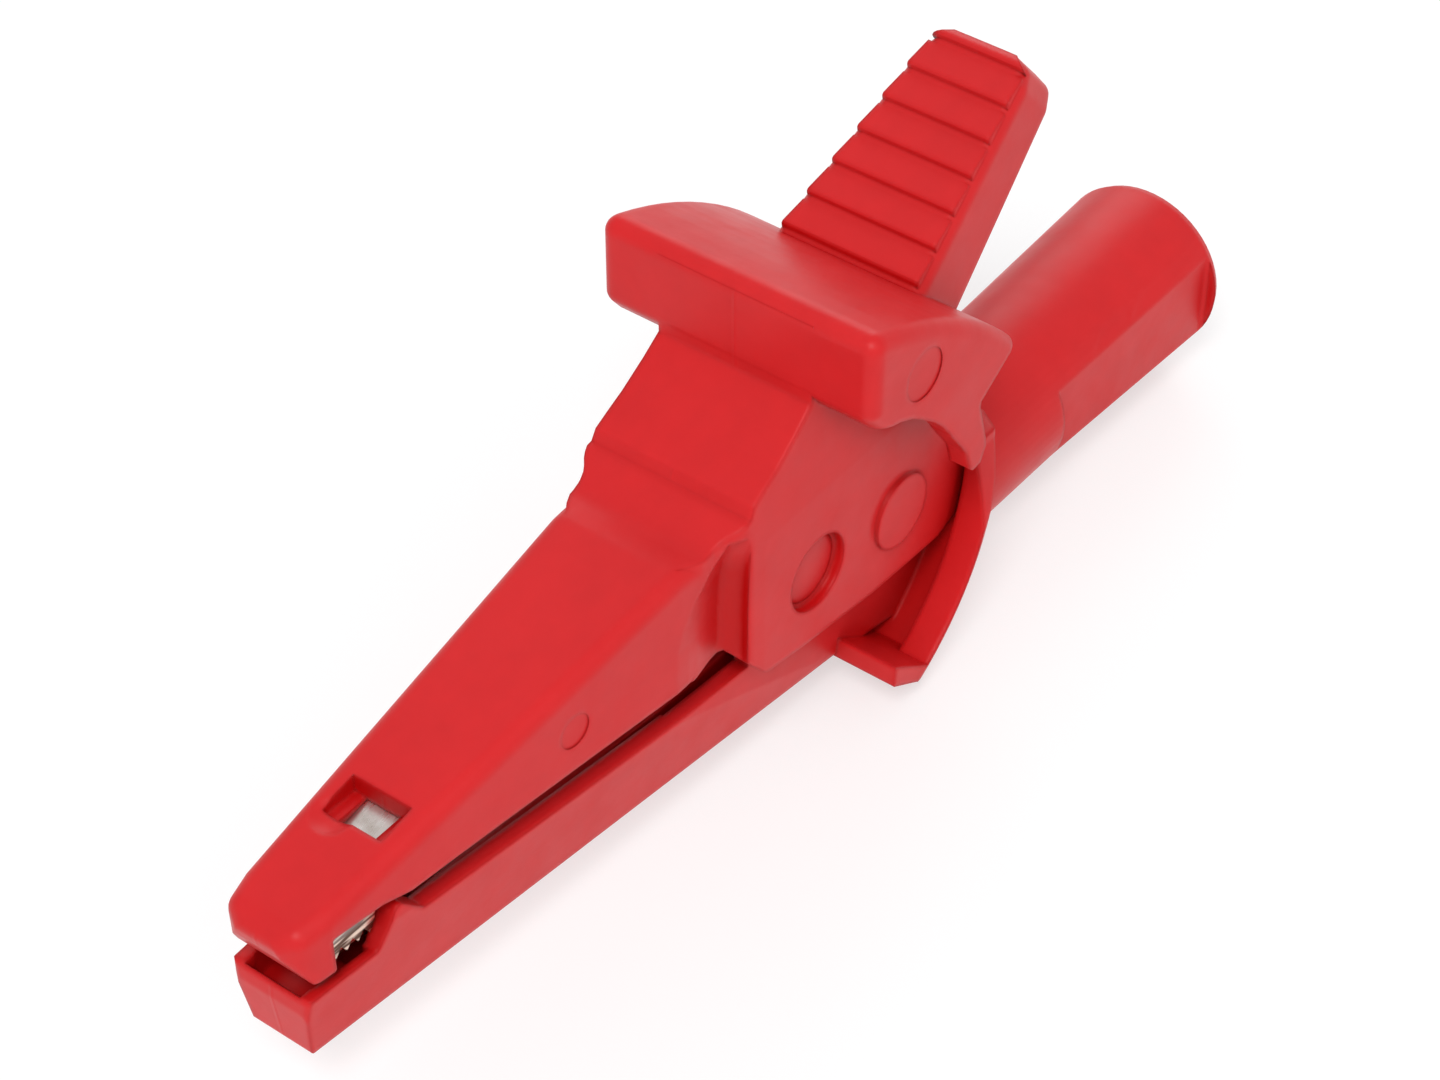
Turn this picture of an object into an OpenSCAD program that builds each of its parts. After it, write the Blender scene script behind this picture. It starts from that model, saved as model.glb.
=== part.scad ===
// Insulated safety crocodile clip with a shrouded 4 mm socket in its tail.
// The origin is the centre of the socket sleeve's mouth, +X runs to the jaws and +Z is up.
// The jaws are drawn closed. The upper jaw turns about the pivot, which lies along Y.

/* [Overall] */
// From the pivot back to the end of the tail
pivot_to_tail = 48.2; // [44:0.1:58]
// Height of the pivot above the axis of the tail
pivot_height = 7.85; // [7.4:0.05:9]
// From the pivot forward to the tip of the upper jaw
jaw_reach = 44; // [38:0.1:54]
// How far the lower jaw stops short of the upper one
lower_setback = 0.8; // [0:0.1:2]
// Clearance between pieces that are fitted into each other
fit_gap = 0.05; // [0.03:0.01:0.1]

/* [Tail and plug socket] */
// Outer diameter at the end of the tail
tail_d = 12.6; // [12:0.1:14]
// Outer diameter at the front of the tail
tail_front_d = 11.4; // [11:0.1:12.5]
// Distance between the two flats at the end of the tail
tail_flats = 10.8; // [10.4:0.1:12]
// Length of the flats
tail_flat_len = 18.2; // [10:0.1:20]
// Length of the round collar behind the flats
tail_collar = 1; // [0.6:0.1:2]
// Bore of the sleeve, for a 4 mm plug
socket_bore = 4.05; // [4:0.01:4.15]
// Depth of the bore for the plug
socket_depth = 20; // [19:0.5:24]
// How far the sleeve's mouth lies inside the end of the tail
socket_inset = 1.5; // [1:0.1:3]
// Wall of the sleeve
sleeve_wall = 0.6; // [0.5:0.05:0.8]
// Length of the sleeve's solid end, which takes the screw
sleeve_end = 3.5; // [3:0.1:5]
// Wall of the insulating tube round the sleeve
tube_wall = 0.55; // [0.45:0.05:0.6]
// Diameter of the recess that takes the plug's shroud
shroud_bore = 9.4; // [9:0.1:9.6]
// Wall of the tail between the sleeve's end and the front pocket
bulkhead = 1.6; // [1:0.1:2.5]

/* [Pivot] */
// Diameter of the stubs on the body that the upper jaw turns on
stub_d = 4.8; // [4:0.1:5.4]
// Running clearance between a stub and its bearing, on the radius
bearing_gap = 0.05; // [0.03:0.01:0.1]
// Diameter of the countersunk ring round the end of a stub
ring_d = 6.2; // [5.8:0.1:7]
// Depth of that ring
ring_depth = 0.7; // [0.4:0.1:1]
// Width of the body between the cheeks
body_w = 9; // [8:0.1:9.4]
// Side clearance between the body and each cheek
cheek_gap = 0.2; // [0.15:0.05:0.3]
// Thickness of a cheek
cheek_t = 1.5; // [1.3:0.1:1.8]
// Radius of the rear end of the cheeks
cheek_r = 16.2; // [15.5:0.1:16.4]
// Diameter of the raised disc on a cheek
disc_d = 5.3; // [4:0.1:6]
// Height of that disc
disc_h = 0.3; // [0.1:0.05:0.5]
// Depth of the ejector pins' round marks
mark_depth = 0.1; // [0.05:0.05:0.2]

/* [Upper guard and lever] */
// Height of the guard's front edge above the pivot
guard_h = 19.9; // [19:0.1:22]
// Width of the guard
guard_w = 20.5; // [17:0.1:22]
// Wall of the guard
guard_wall = 1.6; // [1.2:0.1:2]
// Radius of the guard's edges
guard_edge = 1; // [0.3:0.1:1.2]
// Length of the lever from the guard
lever_len = 16.6; // [12:0.1:20]
// Width of the lever at its root
lever_w = 11.3; // [8:0.1:12]
// Width of the lever at its end
lever_end_w = 7.9; // [4:0.1:8]
// Radius of the lever's edges
lever_edge = 0.9; // [0.3:0.1:1.2]
// Number of grip ribs on the lever
rib_count = 7; // [4:1:9]
// Height of a grip rib
rib_h = 0.35; // [0.2:0.05:0.7]

/* [Jaws] */
// Width of the upper jaw where it leaves the hood
wedge_w = 10.4; // [9:0.1:11]
// Width of the upper jaw at its nose
nose_w = 6.5; // [5.6:0.1:7]
// Radius of the upper jaw's long edges
wedge_edge = 1.1; // [0.3:0.1:1.2]
// Wall of the upper jaw
jaw_wall = 1.2; // [1:0.1:1.4]
// Length of the window over the contact
window_l = 2.7; // [2:0.1:3.2]
// Width of the window
window_w = 4.4; // [3:0.1:4.6]
// Distance from the window's front edge to the tip
window_to_tip = 8.3; // [8:0.1:12]
// Width of the lower jaw at the rim of its nose
lower_nose_w = 5.8; // [5:0.1:6.4]
// Draft of the lower jaw's sides
lower_draft = 8.2; // [0:0.1:9]
// Wall of the lower jaw
lower_wall = 1.1; // [0.9:0.1:1.3]
// Thickness of the two rails beside the contact strip
rail_t = 0.8; // [0.6:0.1:1]
// Floor of the lower jaw
lower_floor = 1.3; // [1:0.1:1.6]

/* [Lower guard] */
// Outer radius of the cup
cup_r = 18.3; // [18:0.1:19]
// Width of the cup
cup_w = 18.2; // [16.5:0.1:19]
// Wall of the cup behind the cheeks
cup_wall = 1.5; // [1.2:0.1:1.5]
// Width of the slot in the cup that the cheeks swing through
cup_slot_w = 13.6; // [13.2:0.1:14]
// How far the cup's sides lean in at the height of the pivot
cup_lean = 1.6; // [0.8:0.1:1.7]
// Inner radius of the cup's two rims
rim_r = 15.1; // [15:0.1:16]

/* [Contacts and spring] */
// Thickness of the contacts' sheet metal
sheet = 0.5; // [0.4:0.05:0.6]
// Width of the contact strip along the lower jaw
strip_w = 3; // [2.4:0.1:3.2]
// Number of teeth on each side of the upper contact
tooth_count = 4; // [2:1:6]
// Diameter of the clamping screw's thread
screw_d = 2.5; // [2:0.1:3]
// Diameter of the screw's head
screw_head_d = 4.4; // [4:0.1:4.8]
// Wire of the closing spring
wire_d = 0.9; // [0.7:0.05:1]
// Mean diameter of the spring's coil
coil_d = 4.7; // [4.4:0.1:5]
// Number of whole turns in the coil
coil_turns = 4; // [3:1:4]
// Clearance between the coil and the bosses inside it, on the radius
coil_gap = 0.3; // [0.2:0.05:0.5]

/* [Hidden] */
$fn = 64;
red = "#C8343C";
nickel = "#B4B2AC";
steel = "#8E9093";
brass = "#C9B27C";

// Places along X, from the sleeve's mouth
tail_end_x = -socket_inset;
pivot_x = pivot_to_tail - socket_inset;
sleeve_d = socket_bore + 2 * sleeve_wall;
sleeve_len = socket_depth + sleeve_end;
tube_bore = sleeve_d + 2 * fit_gap;
tube_d = tube_bore + 2 * tube_wall;
bulkhead_x = sleeve_len + bulkhead;
recess_depth = socket_depth - 2;

// Widths, each as the distance from the middle plane
body_y = body_w / 2;
cheek_in = body_y + cheek_gap;
cheek_out = cheek_in + cheek_t;
guard_y = guard_w / 2;
cup_y = cup_w / 2;
slot_y = cup_slot_w / 2;
wedge_y = wedge_w / 2;
nose_y = nose_w / 2;
channel_y = body_y - lower_wall;
pocket_y = channel_y - 0.2;
tab_y = pocket_y - 0.6;
strip_y = strip_w / 2;
rail_y = strip_y + 0.2;
rail_x = 3;

// The two bosses inside the spring's coil
boss_d = coil_d - wire_d - 2 * coil_gap;
boss_end = 1.2;

// Places from the pivot, for the parts of the upper jaw
wedge_top = 7.45;
wedge_flat_x = 11.9;
jaw_under = -1.95;
step_x = 6.9;
hood_z = 13.5;
guard_x = 0.5;
nose_top = 2.1;
roof_slope = (wedge_top - nose_top) / (jaw_reach - 1 - wedge_flat_x);

// A rounded corner of an outline: arc points at b between the sides to a and c
function unit(v) = v / norm(v);
function corner(a, b, c, r) =
    r <= 0 ? [b] :
    let (u = unit(a - b), v = unit(c - b), half = acos(max(-1, min(1, u * v))) / 2)
    half > 89 ? [b] :
    let (reach = min(r / tan(half), 0.45 * min(norm(a - b), norm(c - b))),
         rr = reach * tan(half), centre = b + unit(u + v) * rr / sin(half),
         p = b + u * reach - centre, q = b + v * reach - centre,
         turn = 180 - 2 * half, side = cross(p, q) > 0 ? 1 : -1,
         steps = max(2, ceil(turn / 15)))
    [for (i = [0:steps]) let (t = side * turn * i / steps)
        centre + [p[0] * cos(t) - p[1] * sin(t), p[0] * sin(t) + p[1] * cos(t)]];

// An outline of corners given as [x, y, radius]
function rounded(pts) = let (n = len(pts))
    [for (i = [0:n - 1])
        let (a = pts[(i + n - 1) % n], b = pts[i], c = pts[(i + 1) % n])
        each corner([a[0], a[1]], [b[0], b[1]], [c[0], c[1]], len(b) > 2 ? b[2] : 0)];

// Points of an arc about a centre, from one angle to another
function arc(r, from, to, centre = [0, 0], steps = 16) =
    [for (i = [0:steps]) let (t = from + (to - from) * i / steps)
        centre + r * [cos(t), sin(t)]];

// A plate that is drawn in side view and spans the width from -y to +y
module side_plate(y) {
    translate([0, y, 0]) rotate([90, 0, 0]) linear_extrude(2 * y) children();
}

// A shape that is turned about the X axis, from a profile of [radius, x]
module turned_x(profile) {
    rotate([0, 90, 0]) rotate_extrude() polygon(profile);
}

// A convex block with all its edges rounded, from the centres of its corner balls.
// The balls are turned a little, so that no facets of two neighbours lie in one line.
ball_turn = [7, 11, 5];
module soft_block(centres, r) {
    hull()
        for (p = centres)
            translate(p) rotate(ball_turn) sphere(r, $fn = 24);
}

// The same points on both sides of the middle plane, from a list of [x, y, z]
function both_sides(pts) = [for (side = [-1, 1], p = pts) [p[0], side * p[1], p[2]]];

// Everything that is measured from the pivot
module at_pivot() {
    translate([pivot_x, 0, pivot_height]) children();
}

// A pin or bore along Y
module along_y(d, from, to) {
    translate([0, from, 0]) rotate([-90, 0, 0]) cylinder(d = d, h = to - from);
}

under_z = -pivot_height - 3.4;
under_slope = 0.062;
lower_reach = jaw_reach - lower_setback;

// Height of the lower jaw's underside and floor at a place in front of the pivot
function under(x) = under_z + under_slope * (x + 4.3);
function floor_top(x) = under(x) + lower_floor;

module tail() {
    flat_x = tail_end_x + tail_collar;
    difference() {
        turned_x([[shroud_bore / 2 + 0.3, tail_end_x], [tail_d / 2 - 1, tail_end_x],
                  [tail_d / 2 - 0.6, tail_end_x + 0.1], [tail_d / 2 - 0.25, tail_end_x + 0.4],
                  [tail_d / 2, tail_end_x + 1], [tail_front_d / 2, flat_x + tail_flat_len],
                  [tail_front_d / 2, pivot_x - 15.5], [0, pivot_x - 15.5],
                  [0, recess_depth], [shroud_bore / 2, recess_depth],
                  [shroud_bore / 2, tail_end_x + 0.3]]);
        for (side = [0, 1])
            mirror([0, side, 0]) translate([0, 0, -tail_d])
                linear_extrude(2 * tail_d)
                    polygon([[flat_x, tail_flats / 2 + 0.2], [flat_x + 0.3, tail_flats / 2],
                             [flat_x + tail_flat_len, tail_flats / 2 - 0.4],
                             [flat_x + tail_flat_len, tail_d], [flat_x, tail_d]]);
        // room for the rear edges of the cheeks
        at_pivot() along_y(2 * (cup_r - cup_wall), -slot_y, slot_y);
    }
    turned_x([[tube_bore / 2, -0.5], [tube_d / 2 - 0.15, -0.5], [tube_d / 2, -0.3],
              [tube_d / 2, recess_depth + 1], [tube_bore / 2, recess_depth + 1]]);
}

// The cup's outer form: a drum about the pivot with rounded sides
module cup_drum() {
    rotate([90, 0, 0]) rotate_extrude() polygon([
        [0, -cup_y], [rim_r, -cup_y], [rim_r + 0.7, -cup_y + 0.25],
        [rim_r + 1.5, -cup_y + 0.8], [rim_r + 2.3, -cup_y + 1.7], [cup_r, -cup_y + 3.2],
        [cup_r, cup_y - 3.2], [rim_r + 2.3, cup_y - 1.7], [rim_r + 1.5, cup_y - 0.8],
        [rim_r + 0.7, cup_y - 0.25], [rim_r, cup_y], [0, cup_y]]);
}

// The cup stands behind the cheeks, and they swing through the slot between its rims
module cup() {
    at_pivot() intersection() {
        cup_drum();
        union() {
            difference() {
                side_plate(cup_y + 1) polygon([[0, 0], [-30, 1.3], [-30, -26.84],
                                               [-4.6, -11.6]]);
                along_y(2 * rim_r, -cup_y - 2, cup_y + 2);
                along_y(2 * (cup_r - cup_wall), -slot_y, slot_y);
            }
            side_plate(cup_y + 1) cup_floor();
        }
        // the sides lean in towards the top
        rotate([90, 0, 90]) linear_extrude(80, center = true)
            polygon([[-cup_y, -40], [-cup_y, -5], [-cup_y + cup_lean, 0], [-cup_y + cup_lean, 20],
                     [cup_y - cup_lean, 20], [cup_y - cup_lean, 0], [cup_y, -5], [cup_y, -40]]);
    }
}

// Side view of the floor that the cheeks stop on when the jaws are wide open
module cup_floor() {
    polygon([[-4.6, -11.6], [-4.7, -10.0], [-9.87, -13.6], [-9.2, -14.3]]);
}

// The walls that carry the stubs
module core() {
    at_pivot() {
        difference() {
            side_plate(body_y) core_side();
            lower_side_cuts();
        }
        along_y(stub_d, -cheek_out + ring_depth - 0.4, cheek_out - ring_depth + 0.4);
    }
}

// Side view of the channel between those walls, open at the top
module channel_side() {
    polygon([[-15.5, floor_top(-15.5)], [12, floor_top(12)], [12, 6], [-9, 6], [-15.5, -4.2]]);
}

// Side view of the walls that carry the stubs
module core_side() {
    polygon([[-17, -2.2], [-10, -0.6], [-3.6, 2], [3.4, 1.6], [4.9, -5.35], [11, -5.2],
             [11, under(11)], [-4.3, under_z], [-12.5, -13], [-16, -8.5]]);
    circle(r = 3.8);
}

// Two rails on the floor of the channel, which stay below the jaw's rim
module strip_rails() {
    end = lower_reach - 6.8;
    for (side = [0, 1])
        mirror([0, side, 0]) translate([0, rail_y + rail_t / 2, 0]) side_plate(rail_t / 2)
            polygon([[rail_x, under(rail_x)], [end, under(end)], [end, -3.4],
                     [end - 2.5, -3.4], [12, -5.3], [rail_x + 1, -5.5], [rail_x, -6]]);
}

// The lower jaw's sides taper to the nose and lean in towards the underside
side_taper = atan(0.0573);
module lower_side_cuts() {
    for (side = [0, 1])
        mirror([0, side, 0]) translate([lower_reach, lower_nose_w / 2, -3.35])
            rotate([-lower_draft, 0, -side_taper]) translate([-lower_reach - 5, 0, -20])
                cube([lower_reach + 10, 10, 40]);
}

module lower_jaw() {
    tray_x = lower_reach - 6;
    at_pivot() difference() {
        intersection() {
            side_plate(body_y)
                polygon(rounded([[4, under(4)], [lower_reach - 0.55, under(lower_reach), 0.3],
                         [lower_reach, -4.4, 0.8], [lower_reach - 0.1, -3.2, 0.3],
                         [tray_x + 0.4, -3.4, 0.3], [tray_x - 0.8, -1, 0.3],
                         [tray_x - 1.3, -0.65, 0.2], [tray_x - 3.2, -2.6, 0.2],
                         [4, -5.35]]));
            linear_extrude(60, center = true)
                polygon(rounded([[3, -body_y], [11, -body_y], [lower_reach, -body_y + 1.2, 1.1],
                         [lower_reach, body_y - 1.2, 1.1], [11, body_y], [3, body_y]]));
        }
        lower_side_cuts();
        // the channel for the contact
        difference() {
            intersection() {
                side_plate(channel_y)
                    polygon([[2, floor_top(2)], [tray_x + 1, floor_top(tray_x + 1)],
                             [tray_x + 1, 2], [2, 2]]);
                linear_extrude(60, center = true)
                    polygon([[2, -channel_y], [8.5, -channel_y], [tray_x + 1, -2.1],
                             [tray_x + 1, 2.1], [8.5, channel_y], [2, channel_y]]);
            }
            strip_rails();
        }
        // the tray in the nose
        translate([0, 0, -5.4]) linear_extrude(20)
            polygon(rounded([[tray_x + 0.6, -lower_nose_w / 2 + 0.35],
                     [lower_reach - 0.8, -lower_nose_w / 2 + 0.75, 0.5],
                     [lower_reach - 0.8, lower_nose_w / 2 - 0.75, 0.5],
                     [tray_x + 0.6, lower_nose_w / 2 - 0.35]]));
    }
}

// Side view of the pocket between the tail's bulkhead and the channel
module pocket_side() {
    start = bulkhead_x - pivot_x;
    top = 3 - pivot_height;
    polygon([[start, floor_top(start)], [-14, floor_top(-14)], [-14, top], [start, top]]);
}

module lower_body() {
    color(red)
    difference() {
        union() {
            tail();
            cup();
            core();
            lower_jaw();
        }
        // bore for the sleeve and clearance for the screw
        turned_x([[0, -5], [tube_bore / 2, -5], [tube_bore / 2, sleeve_len],
                  [0, sleeve_len]]);
        rotate([0, 90, 0]) cylinder(d = screw_d + 0.4, h = bulkhead_x + 1);
        // pocket for the screw's head and the end of the strip
        at_pivot() {
            side_plate(pocket_y) pocket_side();
            difference() {
                side_plate(channel_y) channel_side();
                strip_rails();
            }
        }
    }
    // bosses that the spring's coil sits on
    color(red) at_pivot()
        for (side = [0, 1])
            mirror([0, side, 0]) along_y(boss_d, boss_end, channel_y + 0.1);
}

// Points along the guard's curved back, seen from the side, from its front edge
back_r = 34.1;
back_centre = [9.6, guard_h - 32.4];
back_from = 107.4;
back_to = 138.1;
function guard_back(inset, from = back_from) =
    arc(back_r - inset, from, back_to, back_centre, 12);

// Side view of the guard, with the tongue that hangs in front of the lower guard
module guard_side() {
    polygon(rounded(concat([[guard_x, hood_z], [guard_x, guard_h, 0.4]], guard_back(0),
        [[-12.14, 6.96, 0.8], [-13.44, 3.16, 0.6], [-12.9, 2.0, 0.5],
         [-10.65, 2.35, 0.5], [-9.78, 5.14, 1], [-7.64, 8.18, 2], [-3.78, 11.38, 3]])));
}

// Block that rounds the guard's edges
module guard_block() {
    r = guard_edge;
    y = guard_y - r;
    soft_block(both_sides(concat(
        [for (p = guard_back(r, back_from + 1.3)) [p[0] + 0.3 * r, y, p[1]]],
        [[guard_x - r, y, guard_h - r], [guard_x - r, y, hood_z + r], [-13.44 + r, y, 2.6],
         [-10, y, 2.6]])), r);
}

// Side view of a cheek with the hood above it
module cheek_side() {
    polygon(rounded(concat(
        [[step_x + 0.3, wedge_top + 0.6], [7.4, -1.95, 0.3], [5.3, -4.55, 1.2], [0.7, -5.25, 2],
         [-5.9, -6.05, 2], [-13.1, -6.35, 1]],
        arc(cheek_r, 201, 150, steps = 13),
        [[-14.6, 10.2], [-9, 15], [-1, guard_h - 0.6], [guard_x - 0.05, guard_h - 0.6]],
        [[guard_x - 0.05, hood_z - 0.05], [1.9, 12.3], [3.9, 10.95], [5.4, 10.15],
         [step_x - 0.55, 9.6, 0.25], [step_x - 0.1, wedge_top + 1.2]])));
}

// Front view of the hood and cheeks, which lean in towards the top
module cheek_front() {
    rotate([90, 0, 90]) linear_extrude(80, center = true)
        polygon([[-cheek_out, -20], [-cheek_out, 6.5], [-cheek_out + 0.45, hood_z],
                 [-cheek_out + 0.45, 30], [cheek_out - 0.45, 30],
                 [cheek_out - 0.45, hood_z], [cheek_out, 6.5], [cheek_out, -20]]);
}

// Side view of the space between the cheeks
module cheek_space() {
    polygon(rounded(concat(
        [[30, -12], [-20, -12], [-20, 5], [-17.5, 8.4]],
        [for (i = [12:-1:0]) guard_back(guard_wall, back_from + 1.8)[i]],
        [[-1.15, 12.4, 0.5], [2.0, 10.2, 1],
         [5.2, 8.0, 0.5], [5.8, 5.9, 0.3], [9, 5.9], [30, 2]])));
}

// Side view of the shoulder that carries the jaw, with the scoop at the hood's foot
module root_side() {
    polygon([[4, wedge_top + 1.45], [step_x - 0.3, wedge_top + 1.4],
             [step_x + 0.3, wedge_top + 1.28], [step_x + 0.8, wedge_top + 1.05],
             [step_x + 1.3, wedge_top + 0.75], [step_x + 1.8, wedge_top + 0.45],
             [step_x + 2.3, wedge_top + 0.2], [step_x + 2.8, wedge_top + 0.05],
             [step_x + 3.2, wedge_top], [step_x + 5, wedge_top - 0.04], [step_x + 5, jaw_under],
             [4, jaw_under]]);
}

// Plan of the cheeks and the shoulder: hollow corners lead from the cheeks into the jaw
module root_plan() {
    root = wedge_half(step_x + 3.2);
    half = [[-40, cheek_out], [step_x - 1.4, cheek_out], [step_x - 0.4, cheek_out - 0.05],
            [step_x + 0.2, cheek_out - 0.14], [step_x + 0.6, cheek_out - 0.28],
            [step_x + 0.95, cheek_out - 0.48], [step_x + 1.3, root + 0.42],
            [step_x + 1.6, root + 0.24], [step_x + 2.1, root + 0.1], [step_x + 3.2, root],
            [step_x + 3.9, root - 0.3 * wedge_edge], [step_x + 5, root - wedge_edge]];
    last = len(half) - 1;
    polygon(concat(half, [for (i = [last:-1:0]) [half[i][0], -half[i][1]]]));
}

// Side view of the upper jaw in front of the hood
module wedge_side() {
    nose = jaw_reach;
    polygon(rounded([[4, wedge_top], [wedge_flat_x, wedge_top, 3],
             [nose - 1.2, roof_z(nose - 1.2), 1.2], [nose, 1.4, 1.6],
             [nose - 0.3, 0.2, 0.6], [nose - 1.5, -2.1, 0.3], [nose - 3.0, -1.9, 0.2],
             [nose - 2.9, 0.65, 0.2], [nose - 6.8, 0.3, 0.5], [nose - 9, -0.35, 1],
             [nose - 16.6, jaw_under + 1.2, 1], [7.5, jaw_under], [4, jaw_under]]));
}

// Height of the upper jaw's sloping top at a place in front of the pivot
function roof_z(x) = wedge_top - roof_slope * (x - wedge_flat_x);

// Half the width of the upper jaw, and of the space in it, at a place
taper_end = jaw_reach - 3;
function along_taper(x) = (taper_end - x) / (taper_end - step_x);
function wedge_half(x) = nose_y + (wedge_y - nose_y) * along_taper(x);
function space_half(x) = wedge_half(x) - jaw_wall * (0.6 + 0.4 * along_taper(x));

// The upper jaw tapers to a blunt nose, and its long top edges are rounded
module wedge() {
    nose = jaw_reach;
    r = wedge_edge;
    tip_y = nose_y - r - 1.1;
    intersection() {
        side_plate(cheek_out) wedge_side();
        soft_block(both_sides([
            [5, wedge_half(5) - r, wedge_top - r], [5, wedge_half(5) - r, -6],
            [wedge_flat_x, wedge_half(wedge_flat_x) - r, wedge_top - r],
            [nose - 3.1, wedge_half(nose - 3.1) - r, roof_z(nose - 3.1) - r],
            [nose - 1.6, nose_y - r - 0.3, roof_z(nose - 1.6) - r],
            [nose - r, tip_y, 0.8], [nose - r, tip_y - 0.4, -6], [nose - 1.6, tip_y + 0.4, -6],
            [nose - 3.1, wedge_half(nose - 3.1) - r, -6]]), r);
    }
}

module wedge_space() {
    end = jaw_reach - 3.05;
    intersection() {
        side_plate(cheek_out)
            polygon([[4, -20], [end, -20], [end, roof_z(end) - 1.5], [wedge_flat_x, wedge_top - 1.52],
                     [4, wedge_top - 1.52]]);
        linear_extrude(60, center = true)
            polygon([[3, -cheek_in], [step_x - 0.2, -cheek_in], [step_x, -space_half(step_x)],
                     [end, -space_half(end)], [end, space_half(end)],
                     [step_x, space_half(step_x)], [step_x - 0.2, cheek_in], [3, cheek_in]]);
    }
}

// Side view of a grip rib: steep in front and easy behind
rib_pitch = (lever_len - 1.2) / (rib_count - 1);
module rib_side(x) {
    foot = max(x - 0.85 * rib_pitch, -lever_len - 0.1);
    polygon([[x, -0.4], [x, 0], [x - 0.1, rib_h * 0.75], [x - 0.25, rib_h],
             [x - 0.45, rib_h * 0.92], [foot, 0], [foot, -0.4]]);
}

// The lever's smooth block, rounded at its sides and end
module lever_block() {
    r = lever_edge;
    y = lever_end_w / 2 - r;
    soft_block(both_sides([
        [1, lever_w / 2 - r, -r], [0, lever_w / 2 - r, -5.4],
        [-lever_len + 1.8, y, -r], [-lever_len + 0.9, y - 0.4, -r], [-lever_len + 0.5, y - 1.4, -r],
        [-lever_len + 1.1, y, -4.2], [-lever_len + 0.2, y - 0.4, -4.2],
        [-lever_len - 0.2, y - 1.4, -4.2]]), r);
}

// The lever lies in its own frame: it starts on the guard and runs back along the slope
lever_slope = 30;
module lever() {
    root = [-10.8, guard_h - 5.35];
    translate([root[0], 0, root[1]]) rotate([0, lever_slope, 0]) difference() {
        union() {
            lever_block();
            intersection() {
                side_plate(lever_w)
                    for (i = [0:rib_count - 1])
                        rib_side(-0.4 - rib_pitch * i);
                linear_extrude(60, center = true)
                    polygon([[0, -lever_w / 2 + 0.45], [-lever_len + 0.8, -lever_end_w / 2 + 0.45],
                             [-lever_len - 0.1, -lever_end_w / 2 + 1.6],
                             [-lever_len - 0.1, lever_end_w / 2 - 1.6],
                             [-lever_len + 0.8, lever_end_w / 2 - 0.45], [0, lever_w / 2 - 0.45]]);
            }
        }
        // cored from the rear
        intersection() {
            side_plate(lever_w)
                polygon([[-1, -8], [-1, -1.8], [-lever_len + 1.5, -1.8],
                         [-lever_len + 0.5, -8]]);
            difference() {
                linear_extrude(60, center = true)
                    polygon([[0, -lever_w / 2 + 1.3], [-lever_len + 1, -lever_end_w / 2 + 1.1],
                             [-lever_len + 1, lever_end_w / 2 - 1.1], [0, lever_w / 2 - 1.3]]);
                cube([60, 1.2, 60], center = true);
            }
        }
    }
}

module window() {
    front = jaw_reach - window_to_tip;
    translate([front - window_l, -window_w / 2, roof_z(front) - 0.8])
        cube([window_l, window_w, 4]);
    translate([front - window_l, -window_w / 2 + 0.9, roof_z(front) - 3])
        cube([window_l, window_w - 1.8, 4]);
    // a shallow scoop in one half of its front edge
    scoop_r = 2.6;
    translate([front + 0.5, -1.3, roof_z(front) + scoop_r - 0.45]) sphere(scoop_r);
}

module upper_jaw() {
    color(red) at_pivot()
    difference() {
        union() {
            // guard: a curved box, open to the rear and below
            difference() {
                intersection() {
                    side_plate(guard_y) guard_side();
                    guard_block();
                }
                side_plate(guard_y - guard_wall) cheek_space();
            }
            difference() {
                union() {
                    intersection() {
                        side_plate(cheek_out) {
                            cheek_side();
                            root_side();
                        }
                        cheek_front();
                        linear_extrude(80, center = true) root_plan();
                    }
                    wedge();
                }
                wedge_space();
                difference() {
                    side_plate(cheek_in) cheek_space();
                    translate([step_x, -10, -20]) cube(40);
                }
            }
            lever();
            for (side = [-1, 1])
                translate([-8.6, side * cheek_out, -0.85]) rotate([-90, 0, 0])
                    cylinder(d = disc_d, h = 2 * disc_h, center = true);
        }
        // bearings for the stubs, each with its ring
        for (side = [0, 1]) mirror([0, side, 0]) {
            along_y(stub_d + 2 * bearing_gap, cheek_in - 1, cheek_out + 1);
            along_y(ring_d, cheek_out - ring_depth, cheek_out + 1);
        }
        window();
        // shallow round marks that the ejector pins leave
        for (side = [0, 1]) mirror([0, side, 0]) {
            translate([-4.7, guard_y - mark_depth, guard_h - 5.2]) rotate([-90, 0, 0])
                cylinder(d = 3.6, h = 1);
            translate([21.3, wedge_half(21.3) - mark_depth, 1.95])
                rotate([0, 0, -atan((wedge_y - nose_y) / (taper_end - step_x))])
                    rotate([-90, 0, 0]) cylinder(d = 2.4, h = 1);
        }
    }
}

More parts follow.
